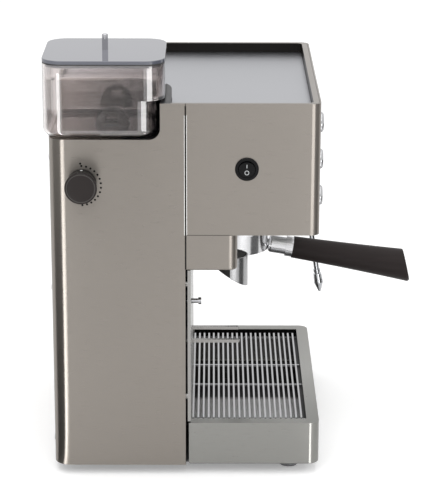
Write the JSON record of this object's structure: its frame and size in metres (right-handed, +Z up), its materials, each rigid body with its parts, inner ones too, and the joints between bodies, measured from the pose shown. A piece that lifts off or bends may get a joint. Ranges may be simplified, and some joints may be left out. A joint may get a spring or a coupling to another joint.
{
  "type": "espresso machine with grinder",
  "caption": "Home espresso machine in a brushed metal case with a built-in bean grinder, lift-off smoked hopper, portafilter, steam wand and pull-out drip tray.",
  "frame": {"origin": "on the worktop, under the middle of the housing, between the four feet", "axes": "+Z up; -Y towards the user, the way the portafilter's handle points; +X to the user's right, with the grinder on the left"},
  "size_m": [0.3375, 0.377, 0.4401],
  "materials": {
    "casing_steel": "brushed, satin",
    "base_steel": "matt",
    "inner_steel": "plain",
    "splash_steel": "polished",
    "cup_plate_steel": "polished",
    "tray_steel": "brushed, satin",
    "grille_steel": "polished",
    "bright_metal": "mirror",
    "button_metal": "satin",
    "screw_steel": "plain",
    "burr_steel": "ground",
    "cast_aluminium": "cast",
    "boiler_brass": "plain",
    "motor_paint": "matt",
    "smoked_clear": "clear, smoked",
    "lid_clear": "gloss",
    "tank_clear": "clear",
    "hose_clear": "satin",
    "dark_plastic": "matt",
    "pump_plastic": "matt",
    "board_green": "matt",
    "switch_black": "gloss",
    "knob_black": "satin",
    "handle_brown": "satin",
    "gauge_white": "gloss",
    "needle_black": "matt",
    "gasket_rubber": "matt",
    "foot_rubber": "matt"
  },
  "bodies": {
    "housing": {"base_plate": "base_steel", "feet": "foot_rubber", "column_casing": "casing_steel", "front_casing": "casing_steel", "front_floor": "inner_steel", "grinder_box": "casing_steel", "bulkhead": "inner_steel", "splash_panel": "splash_steel", "deck_frame": "casing_steel", "hopper_pocket": "casing_steel", "grinder_body": "cast_aluminium", "grinder_motor": "motor_paint", "grinds_duct": "dark_plastic", "dosing_chute": "dark_plastic", "chute_guard": "bright_metal", "portafilter_fork": "bright_metal", "microswitch": "dark_plastic", "group_head": "bright_metal", "group_gasket": "gasket_rubber", "shower_screen": "inner_steel", "boiler": "boiler_brass", "heating_element": "inner_steel", "pump": "pump_plastic", "pressure_pipe": "hose_clear", "suction_hose": "hose_clear", "water_tank": "tank_clear", "control_board": "board_green", "switch_body": "switch_black", "button_bezels": "button_metal", "pressure_gauge": "gauge_white", "steam_valve": "boiler_brass", "power_inlet": "switch_black", "case_screws": "screw_steel"},
    "cup_plate": {"cup_plate": "cup_plate_steel"},
    "hopper": {"hopper": "smoked_clear", "finger_guard": "dark_plastic"},
    "lid": {"hopper_lid": "lid_clear", "lid_gasket": "gasket_rubber", "lid_knob": "bright_metal"},
    "burr": {"lower_burr": "burr_steel"},
    "burr_ring": {"adjusting_ring": "cast_aluminium", "upper_burr": "burr_steel"},
    "grind_setting": {"grind_knob": "knob_black", "worm_shaft": "burr_steel"},
    "pin": {"push_pin": "bright_metal"},
    "portafilter": {"portafilter_body": "bright_metal", "filter_basket": "inner_steel", "double_spout": "bright_metal", "portafilter_handle": "handle_brown"},
    "rocker": {"switch_rocker": "switch_black"},
    "button_1": {"brew_button_1": "button_metal"},
    "button_2": {"brew_button_2": "button_metal"},
    "button_3": {"brew_button_3": "button_metal"},
    "needle": {"gauge_needle": "needle_black"},
    "steam_tap": {"steam_knob": "knob_black"},
    "wand_swivel": {"wand_collar": "bright_metal"},
    "wand": {"steam_wand": "bright_metal", "wand_tip": "bright_metal"},
    "tray": {"drip_tray": "tray_steel"},
    "grille": {"drip_grille": "grille_steel"}
  },
  "joints": [
    {"name": "cup_plate_lift", "type": "slide", "parent": "housing", "child": "cup_plate", "axis": [0, 0, 1], "range_m": [0, 0.05]},
    {"name": "hopper_lift", "type": "slide", "parent": "housing", "child": "hopper", "axis": [0, 0, 1], "range_m": [0, 0.05]},
    {"name": "lid_lift", "type": "slide", "parent": "hopper", "child": "lid", "axis": [0, 0, 1], "range_m": [0, 0.06]},
    {"name": "burr_spin", "type": "hinge", "parent": "housing", "child": "burr", "pos_m": [-0.093, 0.0716, 0.29], "axis": [0, 0, 1], "continuous": true},
    {"name": "grind_setting_turn", "type": "hinge", "parent": "housing", "child": "grind_setting", "pos_m": [-0.149, 0.0991, 0.305], "axis": [1, 0, 0], "range_deg": [0, 180]},
    {"name": "burr_ring_turn", "type": "hinge", "parent": "housing", "child": "burr_ring", "pos_m": [-0.093, 0.0716, 0.305], "axis": [0, 0, 1], "range_deg": [0, 4.5]},
    {"name": "pin_push", "type": "slide", "parent": "housing", "child": "pin", "axis": [0, 1, 0], "range_m": [0, 0.004], "stiffness_N_per_m": 200, "springref_m": -0.002},
    {"name": "portafilter_turn", "type": "hinge", "parent": "housing", "child": "portafilter", "pos_m": [0.052, -0.0534, 0.2], "axis": [0, 0, -1], "range_deg": [0, 45]},
    {"name": "rocker_tilt", "type": "hinge", "parent": "housing", "child": "rocker", "pos_m": [-0.1474, -0.0603, 0.3188], "axis": [0, 1, 0], "range_deg": [0, 18]},
    {"name": "button_1_push", "type": "slide", "parent": "housing", "child": "button_1", "axis": [0, 1, 0], "range_m": [0, 0.003], "stiffness_N_per_m": 300, "springref_m": -0.001},
    {"name": "button_2_push", "type": "slide", "parent": "housing", "child": "button_2", "axis": [0, 1, 0], "range_m": [0, 0.003], "stiffness_N_per_m": 300, "springref_m": -0.001},
    {"name": "button_3_push", "type": "slide", "parent": "housing", "child": "button_3", "axis": [0, 1, 0], "range_m": [0, 0.003], "stiffness_N_per_m": 300, "springref_m": -0.001},
    {"name": "needle_turn", "type": "hinge", "parent": "housing", "child": "needle", "pos_m": [-0.03, -0.132, 0.3185], "axis": [0, 1, 0], "range_deg": [0, 270], "stiffness_Nm_per_rad": 0.0002, "springref_deg": -22.92},
    {"name": "steam_tap_turn", "type": "hinge", "parent": "housing", "child": "steam_tap", "pos_m": [0.149, -0.1114, 0.3188], "axis": [1, 0, 0], "range_deg": [0, 270]},
    {"name": "wand_swivel_turn", "type": "hinge", "parent": "housing", "child": "wand_swivel", "pos_m": [0.117, -0.1114, 0.2425], "axis": [0, 0, 1], "range_deg": [-20, 80]},
    {"name": "wand_tilt", "type": "hinge", "parent": "wand_swivel", "child": "wand", "pos_m": [0.117, -0.1114, 0.2425], "axis": [-1, 0, 0], "range_deg": [0, 25]},
    {"name": "tray_pull", "type": "slide", "parent": "housing", "child": "tray", "axis": [0, -1, 0], "range_m": [0, 0.14]},
    {"name": "grille_lift", "type": "slide", "parent": "tray", "child": "grille", "axis": [0, 0, 1], "range_m": [0, 0.03]}
  ],
  "couplings": [
    {"joint": "burr_ring_turn", "follows": "grind_setting_turn", "ratio": 0.025}
  ]
}
